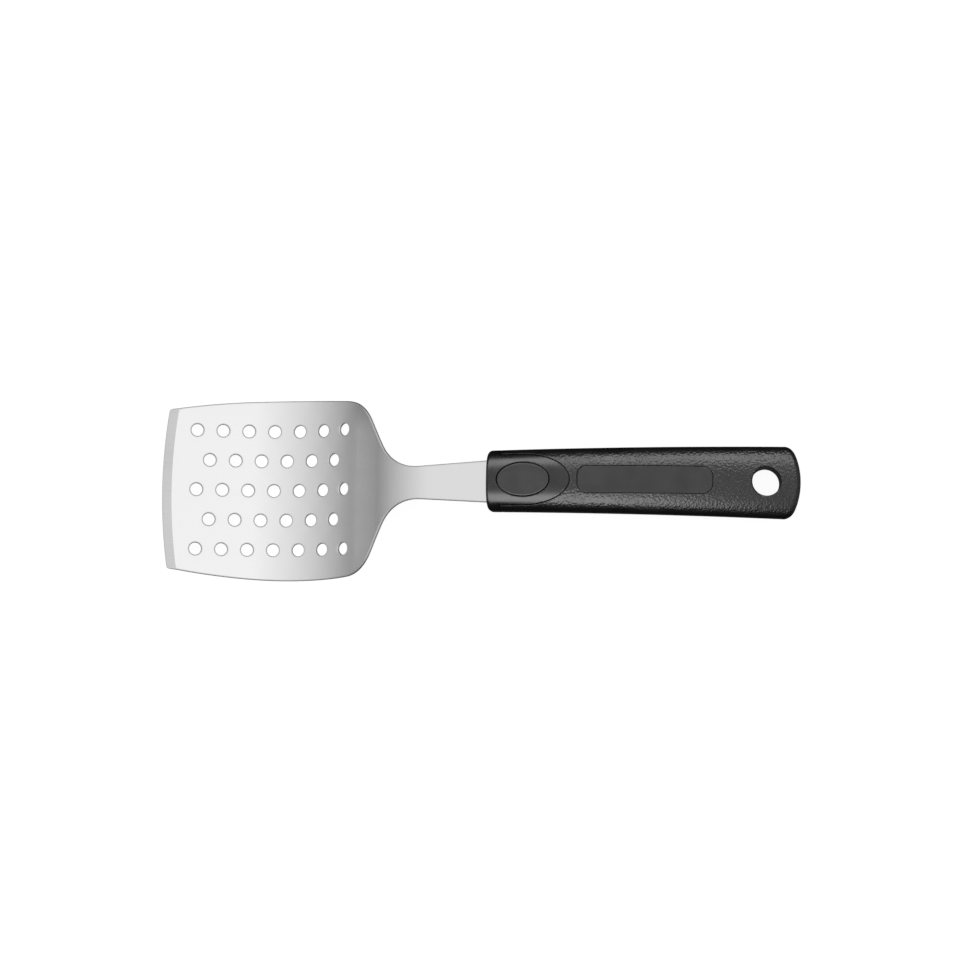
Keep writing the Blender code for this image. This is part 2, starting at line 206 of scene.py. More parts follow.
# Sky: (share of the way from straight down to straight up, grey)
SKY_STOPS = (
    (0.0, 0.03), (0.2, 0.12), (0.28, 0.205), (0.45, 0.355), (0.57, 0.445),
    (0.7, 0.55), (0.87, 0.69), (0.98, 0.81), (1.0, 0.9),
)
SKY_STRENGTH = 1.3
SKY_TILT = math.radians(16)  # leans over the handle

# Area lights: name, tilt from straight above towards +Y in degrees, start, end, width, radiance
PLASTIC_LIGHTS = (
    ("upper_softbox", 35.5, -1.0, 1.1, 0.5, 5.5),
    ("lower_softbox", -28, -1.0, 0.35, 0.69, 6.3),
)
STEEL_LIGHTS = (
    ("left_softbox", 58, -1.2, 1.2, 1.15, 0.75),
    ("right_softbox", -58, -1.2, 1.2, 1.15, 0.6),
    ("under_card", 180, -0.9, 0.9, 1.3, 0.4),
)
LIGHT_DISTANCE = 1.2

# The third index marks the rolled edges, hole walls and lower edges, which take a darker steel that
# is painted shade
SATIN, GROUND, ROLLED_SHADED = range(3)  # the blade's material indices


# ---------------------------------------------------------------- side profile and outlines


def profile(s):
    """Position (x, z) and slope of the side profile at length s."""
    x = z = 0.0
    slope = FLAT_SLOPE
    for length, end_slope in RUNS:
        last = (length, end_slope) == RUNS[-1]
        step = s if last else min(s, length)
        half_turn = (end_slope - slope) * step / length / 2
        chord = step * math.sin(half_turn) / half_turn if half_turn else step
        x += chord * math.cos(slope + half_turn)
        z += chord * math.sin(slope + half_turn)
        slope += 2 * half_turn
        s -= step
        if s == 0:
            break
    return x, z, slope


def unseated(s, w, n):
    """Fold an unrolled point onto the side profile, before it is laid down."""
    x, z, slope = profile(s)
    return Vector((x - n * math.sin(slope), w, z + n * math.cos(slope)))


def seating():
    """The turn and shift that lay the spatula down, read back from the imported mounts."""
    mounts = {m["name"]: m for m in frame["record"]["mounts"]}
    normal = Vector(mounts["blade_underside"]["axis"])
    lying_slope = -math.atan2(normal.x, normal.z) + math.pi
    turn = Matrix.Rotation(FLAT_SLOPE - lying_slope, 4, "Y")
    shift = Vector(mounts["hang_hole"]["pos_m"]) - turn @ unseated(HANG_AT, 0, 0)
    return Matrix.Translation(shift) @ turn


SEATED = seating()


def bend(s, w, n):
    """Fold an unrolled point onto the side profile, in the frame's coordinates."""
    return SEATED @ unseated(s, w, n)


def spaced(start, end, count):
    """count steps from start to end, both ends included."""
    return [start + (end - start) * k / count for k in range(count + 1)]


def quarter_turn(start, end, count):
    """Angles from start to end, both given as shares of a quarter turn."""
    return [share * math.pi / 2 for share in spaced(start, end, count)]


def rounded_rim(radius, count=RIM_STEPS):
    """(distance out, height) along a quarter round that starts upright and ends level."""
    turns = quarter_turn(0, 1, count)
    return [(radius * (1 - math.cos(a)), radius * (math.sin(a) - 1)) for a in turns]


def mirrored(points):
    """The same (s, w, ...) points across the centre line, in the opposite order."""
    return [(p[0], -p[1], *p[2:]) for p in reversed(points)]


def fillet(corners, step=math.radians(5)):
    """Closed outline through (s, w, radius) corners, each rounded to its radius."""
    points = []
    for i, (s, w, radius) in enumerate(corners):
        here = Vector((s, w))
        if radius == 0:
            points.append(here)
            continue
        before = (Vector(corners[i - 1][:2]) - here).normalized()
        after = (Vector(corners[(i + 1) % len(corners)][:2]) - here).normalized()
        half_angle = before.angle(after) / 2
        centre = here + (before + after).normalized() * radius / math.sin(half_angle)
        reach = radius / math.tan(half_angle)
        first = here + before * reach - centre
        turn = first.angle_signed(here + after * reach - centre)
        count = max(2, math.ceil(abs(turn) / step))
        for k in range(count + 1):
            points.append(centre + Matrix.Rotation(-turn * k / count, 2) @ first)
    return points


def ellipse(s, half_length, half_width, sides, start=0.0, end=2 * math.pi):
    """Points of an ellipse centred on the centre line; a whole one leaves out its last point."""
    whole = math.isclose(end - start, 2 * math.pi)
    count = sides if whole else sides + 1
    turns = (start + (end - start) * k / sides for k in range(count))
    return [Vector((s + half_length * math.cos(a), half_width * math.sin(a))) for a in turns]


def drawn_in(loop, distance):
    """A closed loop moved sideways by distance: inwards if it runs anticlockwise."""
    moved = []
    for i, here in enumerate(loop):
        before = (here - loop[i - 1]).normalized()
        after = (loop[(i + 1) % len(loop)] - here).normalized()
        across = Vector((-before.y - after.y, before.x + after.x)).normalized()
        stretch = max(SHARPEST_MITRE, across.dot(Vector((-before.y, before.x))))
        moved.append(here + across * distance / stretch)
    return moved


# ---------------------------------------------------------------- mesh helpers


def mesh_object(name, bm, sharp=40):
    """Finish a bmesh into an object shaded smooth up to its sharp edges."""
    bmesh.ops.recalc_face_normals(bm, faces=bm.faces)
    mesh = bpy.data.meshes.new(name)
    bm.to_mesh(mesh)
    bm.free()
    mesh.shade_smooth()
    mesh.set_sharp_from_angle(angle=math.radians(sharp))
    piece = bpy.data.objects.new(name, mesh)
    bpy.context.scene.collection.objects.link(piece)
    return piece


def joined_rings(bm, rings):
    """Quads between successive rings of the same number of verts."""
    for one, two in zip(rings, rings[1:]):
        for k in range(len(one)):
            following = (k + 1) % len(one)
            bm.faces.new((one[k], one[following], two[following], two[k]))


def fanned(bm, loop):
    """Close a ring with triangles round its middle."""
    middle = bm.verts.new(sum((v.co for v in loop), Vector()) / len(loop))
    for k in range(len(loop)):
        bm.faces.new((loop[k], loop[(k + 1) % len(loop)], middle))


def stripped(bm, loop):
    """Close a ring that is its own mirror image in n with strips from its top to its bottom."""
    half = len(loop) // 2
    bm.faces.new((loop[0], loop[1], loop[-1]))
    for k in range(1, half - 1):
        bm.faces.new((loop[k], loop[k + 1], loop[-k - 1], loop[-k]))
    bm.faces.new((loop[half - 1], loop[half], loop[half + 1]))


def laddered(bm, loop):
    """Close a ring that is its own mirror image in w with rungs straight across."""
    left, right = ([v for v in loop if v.co.y * side > 0] for side in (1, -1))
    left, right = (sorted(part, key=lambda v: v.co.x) for part in (left, right))
    for k in range(len(left) - 1):
        bm.faces.new((left[k], left[k + 1], right[k + 1], right[k]))


def closed_edges(bm, verts):
    """The edges round a ring of verts, made where they are missing."""
    pairs = zip(verts, verts[1:] + verts[:1])
    return [bm.edges.get(pair) or bm.edges.new(pair) for pair in pairs]


def closed_loft(name, rings, close=fanned):
    """A closed body through rings of points."""
    bm = bmesh.new()
    loops = [[bm.verts.new(p) for p in ring] for ring in rings]
    joined_rings(bm, loops)
    for loop in (loops[0], loops[-1]):
        close(bm, loop)
    return mesh_object(name, bm)


def combined(piece, steps):
    """Apply (operation, cutter) Booleans to a piece and remove the cutters."""
    for operation, cutter in steps:
        modifier = piece.modifiers.new("cut", "BOOLEAN")
        modifier.operation = operation
        modifier.object = cutter
        modifier.solver = "EXACT"
    bpy.context.view_layer.update()
    graph = bpy.context.evaluated_depsgraph_get()
    mesh = bpy.data.meshes.new_from_object(piece.evaluated_get(graph))
    piece.modifiers.clear()
    piece.data = mesh
    for _, cutter in steps:
        bpy.data.objects.remove(cutter)
    return piece


def tidied(piece, sharp=32):
    """Close up the slivers that cutting leaves, then shade by the large faces."""
    bm = bmesh.new()
    bm.from_mesh(piece.data)
    bmesh.ops.remove_doubles(bm, verts=bm.verts, dist=MERGE_WITHIN)
    bmesh.ops.dissolve_degenerate(bm, edges=bm.edges, dist=DEGENERATE_WITHIN)
    bm.to_mesh(piece.data)
    bm.free()
    piece.data.shade_smooth()
    piece.data.set_sharp_from_angle(angle=math.radians(sharp))
    weighted = piece.modifiers.new("weighted normals", "WEIGHTED_NORMAL")
    weighted.keep_sharp = True
    weighted.weight = 80
    return piece


# ---------------------------------------------------------------- blade


def leading_edge(w):
    """How far the leading edge has curved back at w."""
    return w * w / (2 * LEADING_RADIUS)


def side_width(s):
    """Half width of the blade at s."""
    return BLADE_HALF_WIDTH - (s - WIDEST_AT) ** 2 / (2 * SIDE_RADIUS)


def stamping_outline():
    """The closed outline, and the indices of the two points where the ground line meets it."""
    edge_half = LEADING_HALF_WIDTH - 2 * LEADING_CORNER
    edge = [(leading_edge(w), w, 0) for w in spaced(edge_half, -edge_half, EDGE_STEPS)]
    corner = (leading_edge(LEADING_HALF_WIDTH), LEADING_HALF_WIDTH, LEADING_CORNER)
    ground_end = leading_edge(LEADING_HALF_WIDTH) + GROUND_LENGTH
    side_stations = spaced(ground_end, SHOULDER_AT[0] - SIDE_CURVE_STOP, SIDE_STEPS)
    half = [(s, side_width(s), 0) for s in side_stations] + [
        (*SHOULDER_AT, SHOULDER_FILLET),
        (*NECK_AT, SHOULDER_FILLET),
        (FRONT + NECK_INSERT, NECK_END_HALF_WIDTH, NECK_END_CORNER),
        (FRONT + NECK_INSERT, TANG_HALF_WIDTH, NECK_END_CORNER),
        (FRONT + TANG_LENGTH, TANG_HALF_WIDTH, TANG_CORNER),
    ]
    loop = fillet(edge + mirrored([corner]) + mirrored(half)[::-1] + half[::-1] + [corner])
    ends = [i for i, p in enumerate(loop) if abs(p.x - ground_end) < SAME]
    return loop, ends


def perforation():
    """The blade's holes and the tang's pin holes, run the other way round from the outline."""
    loops = []
    for row, count in enumerate(HOLES_IN_ROW):
        w = (len(HOLES_IN_ROW) // 2 - row) * ROW_PITCH
        start = FIRST_HOLE + (row % 2) * HOLE_PITCH / 2
        for k in range(count):
            ring = ellipse(start + k * HOLE_PITCH, HOLE_RADIUS, HOLE_RADIUS, HOLE_SIDES)
            loops.append([p + Vector((0, w)) for p in reversed(ring)])
    for s in PINS_AT:
        loops.append(ellipse(s, PIN_RADIUS + GAP, PIN_RADIUS + GAP, HOLE_SIDES)[::-1])
    return loops


def edge_profile():
    """(inset from the edge, n), from the upper face round the rolled edge to the lower face."""
    top = SHEET / 2
    rolled = [
        (ROLLED_EDGE * (1 - math.sin(a)), top - ROLLED_EDGE * (1 - math.cos(a)))
        for a in quarter_turn(0, 1, ROLL_STEPS)
    ]
    return rolled + [(0, -top + LOWER_EDGE), (LOWER_EDGE, -top)]


def local_thickness(s, w):
    """Share of the sheet that grinding leaves."""
    kept = min(1, max(0, (s - leading_edge(w)) / GROUND_LENGTH))
    return (GROUND_EDGE + (SHEET - GROUND_EDGE) * kept) / SHEET


def fill_upper_face(bm, outline, holes, ground_ends):
    """Fill between the outline and the holes, in two parts that share the ground line."""
    hole_edges = [e for ring in holes for e in closed_edges(bm, ring)]
    first, last = sorted(ground_ends)
    one, two = outline[first], outline[last]
    line = []
    for w in spaced(one.co.y, two.co.y, EDGE_STEPS)[1:-1]:
        line.append(bm.verts.new((leading_edge(w) + GROUND_LENGTH, w, SHEET / 2)))
    ways = [outline[first + 1 : last], (outline[last + 1 :] + outline[:first])[::-1]]
    ways.sort(key=lambda way: max(v.co.x for v in way), reverse=True)
    for way, edges in zip(ways, (hole_edges, [])):
        border = closed_edges(bm, [one] + way + [two] + line[::-1])
        bmesh.ops.triangle_fill(bm, use_beauty=True, edges=border + edges)


def cut_across(bm):
    """Cut the flat sheet wherever the profile will bend it, and along the tang."""
    stations = spaced(FLAT_LENGTH, FLAT_LENGTH + HEEL_LENGTH, HEEL_STEPS)
    stations += spaced(CRANK_START, CRANK_START + CRANK_LENGTH, CRANK_STEPS)
    stations += spaced(FRONT, FRONT + TANG_LENGTH, TANG_STEPS)[:-1]
    for s in stations:
        everything = bm.verts[:] + bm.edges[:] + bm.faces[:]
        bmesh.ops.bisect_plane(
            bm, geom=everything, plane_co=(s, 0, 0), plane_no=(1, 0, 0), dist=BISECT_WITHIN
        )


def finish_of(face):
    """Material index of a face of the flat sheet."""
    if all(v.co.z > SHEET / 2 - SAME for v in face.verts):
        middle = face.calc_center_median()
        return GROUND if middle.x < leading_edge(middle.y) + GROUND_LENGTH else SATIN
    return SATIN if all(v.co.z < SAME - SHEET / 2 for v in face.verts) else ROLLED_SHADED


def stamping():
    """Blade, neck and tang: two filled faces joined by rolled edges, cut across and bent."""
    outline, ground_ends = stamping_outline()
    bm = bmesh.new()
    upper, lower = [], []
    for loop in [outline] + perforation():
        rings = []
        for inset, n in edge_profile():
            rings.append([bm.verts.new((*p, n)) for p in drawn_in(loop, inset)])
        joined_rings(bm, rings)
        upper.append(rings[0])
        lower.append(rings[-1])
    fill_upper_face(bm, upper[0], upper[1:], ground_ends)
    lower_edges = [e for ring in lower for e in closed_edges(bm, ring)]
    bmesh.ops.triangle_fill(bm, use_beauty=True, edges=lower_edges)
    cut_across(bm)
    for face in bm.faces:
        face.material_index = finish_of(face)
    for v in bm.verts:
        s, w, n = v.co
        v.co = bend(s, w, (n + SHEET / 2) * local_thickness(s, w) - SHEET / 2)
    return tidied(mesh_object("blade_visual", bm), sharp=12)


# ---------------------------------------------------------------- handle


def half_width(s):
    return HALF_WIDTH_FRONT + (HALF_WIDTH_BUTT - HALF_WIDTH_FRONT) * (s - FRONT) / HANDLE_LENGTH


def half_height(s):
    return HALF_HEIGHT_FRONT + (HALF_HEIGHT_BUTT - HALF_HEIGHT_FRONT) * (s - FRONT) / HANDLE_LENGTH


def crown(s, w):
    """Height of the handle's upper surface at a point."""
    share = min(1, abs(w) / half_width(s))
    return half_height(s) * (1 - share**SECTION_POWER) ** (1 / SECTION_POWER)


def rounding(depth, radius):
    """How far a rounded end has drawn in at a depth below its end."""
    return radius - math.sqrt(radius**2 - max(0, radius - depth) ** 2)


def on_tongue(w, n):
    return n > TONGUE_BASE and abs(w) < TONGUE_HALF_WIDTH


def section(s, width, height, bulge, groove=0.0):
    """One ring of the handle; bulge wraps it in plan, groove sinks it except across the tongue."""
    ring = []
    for k in range(SECTION_SIDES):
        a = 2 * math.pi * k / SECTION_SIDES
        w = width * math.copysign(abs(math.cos(a)) ** (2 / SECTION_POWER), math.cos(a))
        n = height * math.copysign(abs(math.sin(a)) ** (2 / SECTION_POWER), math.sin(a))
        if groove and not on_tongue(w, n):
            w *= 1 - groove / width
            n *= 1 - groove / height
        ring.append(bend(s - bulge * w * w / 2, w, n))
    return ring


def handle_form(name, inset):
    """The handle's outer shape, drawn in all round by inset but not at its front."""
    butt = BUTT - inset
    joint = FRONT + NOSE_LENGTH + GAP / 2
    rings = []

    def add(s, narrower=0.0, flatter=0.0, bulge=0.0, groove=0.0):
        width = half_width(s) - inset - narrower
        rings.append(section(s, width, half_height(s) - inset - flatter, bulge, groove))

    for a in quarter_turn(0, 1, FRONT_STEPS):
        depth = FRONT_CORNER * (1 - math.cos(a))
        if inset:
            add(FRONT + depth)
        else:
            add(FRONT + depth, rounding(depth, FRONT_CORNER), rounding(depth, FRONT_EDGE))
    for offset, depth in GROOVE:
        add(joint + offset * SOFT_EDGE, groove=0 if inset else depth * SOFT_EDGE)
    for s in spaced(joint + GROOVE[-1][0] * SOFT_EDGE, butt - BUTT_CORNER, HANDLE_STEPS)[1:]:
        add(s, bulge=((s - FRONT) / (butt - FRONT)) ** 3 / BUTT_RADIUS)
    for a in quarter_turn(1, 0, BUTT_STEPS)[1:]:
        depth = BUTT_CORNER * (1 - math.cos(a))
        narrower, flatter = rounding(depth, BUTT_CORNER), rounding(depth, BUTT_EDGE)
        add(butt - depth, narrower, flatter, 1 / BUTT_RADIUS)
    return closed_loft(name, rings, stripped)


def column(name, outline, levels):
    """A cutter through rings of a growing outline: levels are (growth, height function)."""
    rings = []
    for growth, height in levels:
        rings.append([bend(s, w, height(s, w)) for s, w in outline(growth)])
    return closed_loft(name, rings)


def flared(base, radius, sign=1):
    """Levels of a cutter whose wall turns out (sign 1) or in (-1) where it meets the crown."""
    levels = [(0, base)]
    for out, up in rounded_rim(radius):
        levels.append((sign * out, lambda s, w, up=up: crown(s, w) + up))
    levels.append((sign * radius * PAST_OUT, lambda s, w: crown(s, w) + PAST_UP * radius))
    levels.append((sign * radius * PAST_OUT, lambda s, w: crown(s, w) + CUTTER_TOP))
    return levels


def tongue_outline(growth):
    """From past the front face, straight along both sides and round behind the thumb rest."""
    length = TONGUE_HALF_LENGTH + growth
    width = TONGUE_HALF_WIDTH + growth
    stations = spaced(FRONT - TONGUE_LEAD, THUMB_AT, TONGUE_STEPS)[:-1]
    right = [Vector((s, -width)) for s in stations]
    back = ellipse(THUMB_AT, length, width, TONGUE_SIDES, -math.pi / 2, math.pi / 2)
    left = [Vector((s, width)) for s in reversed(stations)]
    return right + back + left


def label_outline(growth):
    """A rounded rectangle whose long straight sides are cut into short steps."""
    length = LABEL_HALF_LENGTH + growth
    width = LABEL_HALF_WIDTH + growth
    radius = LABEL_CORNER + growth
    corners = []
    for a, b in ((-1, -1), (1, -1), (1, 1), (-1, 1)):
        corners.append((LABEL_AT + a * length, b * width, radius))
    rounded = fillet(corners, LABEL_CORNER_STEP)
    dense = []
    for here, following in zip(rounded, rounded[1:] + rounded[:1]):
        steps = LABEL_STEPS if (following - here).length > LABEL_CORNER else 1
        dense += [here.lerp(following, k / steps) for k in range(steps)]
    return dense


def thumb_outline(growth):
    length = THUMB_HALF_LENGTH + growth
    return ellipse(THUMB_AT, length, THUMB_HALF_WIDTH + growth, THUMB_SIDES)


def box_cutter(name, s_range, w_range, n_range):
    rings = []
    for n in n_range:
        rings.append([bend(s_range[a], w_range[b], n) for a, b in ((0, 0), (1, 0), (1, 1), (0, 1))])
    return closed_loft(name, rings)


def bore_levels(tall, flare):
    """(height, growth) of a bore's rings; a flared one is rounded out at both its rims."""
    upper = [(BIG, 0)]
    if flare:
        upper = [(tall + up, out) for out, up in rounded_rim(flare, BORE_RIM_STEPS)]
        upper += [(tall + BORE_PAST_UP * flare, PAST_OUT * flare), (BIG, PAST_OUT * flare)]
    return [(-height, growth) for height, growth in reversed(upper)] + upper


def bore_cutter(name, s, radius, lean=0.0, flare=0.0):
    """A round hole through the handle that leans from its normal and is flared at its rims.

    Its flared rings follow the surface, which drops along its slope and towards its sides.
    """
    centre = unseated(s, 0, 0)
    axis_slope = profile(s)[2] - lean
    rings = []
    for height, growth in bore_levels(half_height(s) / math.cos(lean), flare):
        ring = []
        for k in range(BORE_SIDES):
            a = 2 * math.pi * k / BORE_SIDES
            along = (radius + growth) * math.cos(a)
            across = (radius + growth) * math.sin(a)
            rise = height
            if flare and abs(height) < BIG:
                rise += along * math.tan(lean)
                rise -= math.copysign(half_height(s) - crown(s, across), height)
            x = centre.x + along * math.cos(axis_slope) - rise * math.sin(axis_slope)
            z = centre.z + along * math.sin(axis_slope) + rise * math.cos(axis_slope)
            ring.append(SEATED @ Vector((x, across, z)))
        rings.append(ring)
    return closed_loft(name, rings)


def core_envelope(name, growth, edge_sign):
    """What the core fills: the inside of the grip, the nose, and the tongue on top."""

    def outline(more):
        return tongue_outline(growth + more)

    envelope = handle_form(name, SKIN + GAP - growth)
    nose_range = (FRONT - BIG / 2, FRONT + NOSE_LENGTH + growth)
    nose = box_cutter("nose", nose_range, (-BIG, BIG), (-BIG / 2, BIG / 2))
    levels = flared(lambda s, w: TONGUE_BASE - growth, SOFT_EDGE, edge_sign)
    tongue = column("tongue", outline, levels)
    lining_radius = HANG_RADIUS + SKIN + GAP - growth
    lining = bore_cutter("lining", HANG_AT, lining_radius, profile(HANG_AT)[2])
    return combined(envelope, [("UNION", nose), ("UNION", tongue), ("DIFFERENCE", lining)])


def tang_slot():
    """The flat slot that the neck's end and the tang fill, stepped as they are."""

    def outline(_growth):
        return [Vector(p) for p in half + mirrored(half)]

    mouth = NECK_END_HALF_WIDTH + GAP
    narrow = TANG_HALF_WIDTH + GAP
    step = FRONT + NECK_INSERT + GAP
    half = [(s, mouth) for s in (FRONT - NOSE_LENGTH, FRONT - 1 * MM, step)]
    half += [(s, narrow) for s in spaced(step, FRONT + TANG_LENGTH + GAP, SLOT_STEPS)]
    reach = SHEET / 2 + GAP
    return column("slot", outline, [(0, lambda s, w: -reach), (0, lambda s, w: reach)])


def handle_core():
    """The hard moulding: the handle's form kept inside its envelope, slotted and drilled."""
    core = handle_form("handle_core_visual", 0)
    seat_floor = HALF_HEIGHT_FRONT - THUMB_SEAT_DEPTH - GAP
    seat = column("seat", thumb_outline, flared(lambda s, w: seat_floor, PAD_EDGE))
    steps = [
        ("INTERSECT", core_envelope("core_envelope", 0, -1)),
        ("DIFFERENCE", tang_slot()),
        ("DIFFERENCE", seat),
    ]
    for s in PINS_AT:
        steps.append(("DIFFERENCE", bore_cutter("pin_hole", s, PIN_RADIUS + GAP)))
    return tidied(combined(core, steps))


def grip_skin():
    """The grained shot: the handle's form less the core, the hanging hole and the recess."""
    skin = handle_form("grip_skin_visual", 0)
    cavity = core_envelope("skin_cavity", GAP, 1)
    hang = bore_cutter("hang", HANG_AT, HANG_RADIUS, profile(HANG_AT)[2], HANG_ROUNDING)
    levels = flared(lambda s, w: half_height(s) - LABEL_RECESS, LABEL_EDGE)
    recess = column("recess", label_outline, levels)
    steps = [("DIFFERENCE", cutter) for cutter in (cavity, hang, recess)]
    return tidied(combined(skin, steps))


def thumb_pad():
    """Oval pad dished for the thumb, its rim rounded and following the crown."""
    bottom = HALF_HEIGHT_FRONT - THUMB_SEAT_DEPTH
    rings = [[bend(s, w, bottom) for s, w in thumb_outline(-GAP)]]
    for out, up in rounded_rim(PAD_EDGE):
        ring = thumb_outline(-GAP - out)
        rings.append([bend(s, w, crown(s, w) - THUMB_SINK + up) for s, w in ring])
    rim = -GAP - PAD_EDGE
    for share in spaced(1, 0, THUMB_RINGS)[1:-1]:
        length = (THUMB_HALF_LENGTH + rim) * share
        width = (THUMB_HALF_WIDTH + rim) * share
        dish = THUMB_DISH_DEPTH * (1 - share**2) ** THUMB_DISH_POWER
        ring = ellipse(THUMB_AT, length, width, THUMB_SIDES)
        rings.append([bend(s, w, crown(s, w) - THUMB_SINK - dish) for s, w in ring])
    return tidied(closed_loft("thumb_pad_visual", rings), sharp=40)


def label_plate():
    """Blank plate let into the grip, its upper edge rounded."""
    floor = LABEL_RECESS - GAP
    top = LABEL_THICKNESS - floor
    levels = [(-LABEL_GAP, -floor)]
    levels += [(-LABEL_GAP - out, top + up) for out, up in rounded_rim(SOFT_EDGE)]
    levels += [(-LABEL_GAP - inset, top) for inset in LABEL_INSETS]
    rings = []
    for growth, up in levels:
        rings.append([bend(s, w, half_height(s) + up) for s, w in label_outline(growth)])
    return tidied(closed_loft("label_plate_visual", rings, laddered), sharp=40)


# ---------------------------------------------------------------- materials


def new_material(name):
    material = bpy.data.materials.new(name)
    material.use_nodes = True
    tree = material.node_tree
    return material, tree, tree.nodes["Principled BSDF"]


def noise(tree, vector, scale, detail, roughness=0.5, output="Fac"):
    node = tree.nodes.new("ShaderNodeTexNoise")
    node.inputs["Scale"].default_value = scale
    node.inputs["Detail"].default_value = detail
    node.inputs["Roughness"].default_value = roughness
    tree.links.new(vector, node.inputs["Vector"])
    return node.outputs[output]


def object_coordinates(tree, stretch=(1, 1, 1)):
    coordinates = tree.nodes.new("ShaderNodeTexCoord")
    mapping = tree.nodes.new("ShaderNodeMapping")
    mapping.inputs["Scale"].default_value = stretch
    tree.links.new(coordinates.outputs["Object"], mapping.inputs["Vector"])
    return mapping.outputs["Vector"]


def ranged(tree, value, low, high, from_low=0.0, from_high=1.0):
    """Map from_low..from_high to low..high, held at both ends."""
    node = tree.nodes.new("ShaderNodeMapRange")
    node.inputs["From Min"].default_value = from_low
    node.inputs["From Max"].default_value = from_high
    node.inputs["To Min"].default_value = low
    node.inputs["To Max"].default_value = high
    tree.links.new(value, node.inputs["Value"])
    return node.outputs["Result"]


def ramped(tree, value, stops):
    """A grey ramp through (position, grey) stops."""
    node = tree.nodes.new("ShaderNodeValToRGB")
    ramp = node.color_ramp
    for i, (position, grey) in enumerate(stops):
        stop = ramp.elements[i] if i < 2 else ramp.elements.new(position)
        stop.position = position
        stop.color = (grey, grey, grey, 1)
    tree.links.new(value, node.inputs["Fac"])
    return node.outputs["Color"]


def bumped(tree, shader, height, distance, strength):
    node = tree.nodes.new("ShaderNodeBump")
    node.inputs["Distance"].default_value = distance
    node.inputs["Strength"].default_value = strength
    tree.links.new(height, node.inputs["Height"])
    tree.links.new(node.outputs["Normal"], shader.inputs["Normal"])


def multiplied(tree, one, two):
    node = tree.nodes.new("ShaderNodeMath")
    node.operation = "MULTIPLY"
    tree.links.new(one, node.inputs[0])
    tree.links.new(two, node.inputs[1])
    return node.outputs["Value"]


def summed(tree, one, two, weight):
    """one + two * weight"""
    node = tree.nodes.new("ShaderNodeMath")
    node.operation = "MULTIPLY_ADD"
    node.inputs[1].default_value = weight
    tree.links.new(two, node.inputs[0])
    tree.links.new(one, node.inputs[2])
    return node.outputs["Value"]


def satin_steel(name, low, high, roughness, lines):
    """Satin steel with fine lines running along the blade; lines is their bump strength."""
    material, tree, shader = new_material(name)
    shader.inputs["Metallic"].default_value = 1.0
    stretched = object_coordinates(tree, (60, 5200, 60))
    hair = noise(tree, stretched, scale=1.0, detail=3.0, roughness=0.6)
    cloud = noise(tree, object_coordinates(tree), scale=45.0, detail=3.0, roughness=0.5)
    tone = summed(tree, hair, cloud, 0.6)
    grey = ramped(tree, tone, ((0.45, low), (1.15, high)))
    tree.links.new(grey, shader.inputs["Base Color"])
    sheen = ranged(
        tree, tone, roughness - 0.01, roughness + 0.01, from_low=0.5, from_high=1.1
    )
    tree.links.new(sheen, shader.inputs["Roughness"])
    bumped(tree, shader, hair, 0.02 * MM, lines)
    return material


def black_plastic(name, grey, roughness, grain=0.0, cell=0.8 * MM):
    """Moulded black plastic; grain is the depth of a pebble texture with cells of that size."""
    material, tree, shader = new_material(name)
    shader.inputs["IOR"].default_value = 1.46
    vector = object_coordinates(tree)
    mottle = noise(tree, vector, scale=90.0, detail=4.0, roughness=0.55)
    fine = noise(tree, vector, scale=3500.0, detail=2.0, roughness=0.6)
    tone = ramped(tree, mottle, ((0.3, grey * 0.85), (0.7, grey * 1.2)))
    tree.links.new(tone, shader.inputs["Base Color"])
    sheen = ranged(
        tree, mottle, roughness - 0.04, roughness + 0.05, from_low=0.3, from_high=0.7
    )
    tree.links.new(sheen, shader.inputs["Roughness"])
    if not grain:
        bumped(tree, shader, fine, 0.01 * MM, 0.5)
        return material
    warp = tree.nodes.new("ShaderNodeVectorMath")
    warp.operation = "MULTIPLY_ADD"
    wobble = noise(tree, vector, scale=700.0, detail=2.0, output="Color")
    tree.links.new(wobble, warp.inputs[0])
    warp.inputs[1].default_value = (0.5 * MM,) * 3
    tree.links.new(vector, warp.inputs[2])
    pebble = tree.nodes.new("ShaderNodeTexVoronoi")
    pebble.feature = "SMOOTH_F1"
    pebble.inputs["Scale"].default_value = 1 / cell
    pebble.inputs["Smoothness"].default_value = 0.6
    tree.links.new(warp.outputs["Vector"], pebble.inputs["Vector"])
    domes = ranged(tree, pebble.outputs["Distance"], 1.0, 0.0, from_low=0.1, from_high=0.75)
    height = summed(tree, domes, fine, 0.12)
    bumped(tree, shader, height, grain, 1.0)
    return material


def coat(piece, *materials):
    """Give a piece these materials and no others."""
    while piece.data.materials:
        piece.data.materials.pop()
    for material in materials:
        piece.data.materials.append(material)


# ---------------------------------------------------------------- stage


def stage_material():
    """Pale table lit from within, so that it stays pale through the holes."""
    material, _, shader = new_material("pale_table")
    shader.inputs["Base Color"].default_value = (TABLE_GREY, TABLE_GREY, TABLE_GREY, 1)
    shader.inputs["Roughness"].default_value = 0.9
    shader.inputs["Specular IOR Level"].default_value = 0.0
    shader.inputs["Emission Color"].default_value = (1, 1, 1, 1)
    shader.inputs["Emission Strength"].default_value = TABLE_GLOW
    return material


def sweep():
    """A round table top that curves up into a wall all round."""
    bm = bmesh.new()
    rings = []
    for radius, height in SWEEP_RINGS:
        ring = []
        for k in range(SWEEP_SIDES):
            a = 2 * math.pi * k / SWEEP_SIDES
            ring.append(bm.verts.new((radius * math.cos(a), radius * math.sin(a), height)))
        rings.append(ring)
    joined_rings(bm, rings)
    bm.faces.new(rings[0])
    piece = mesh_object("pale_sweep", bm, sharp=60)
    piece.visible_glossy = False
    piece.visible_diffuse = False
    piece.visible_shadow = False
    coat(piece, stage_material())
    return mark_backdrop(piece)


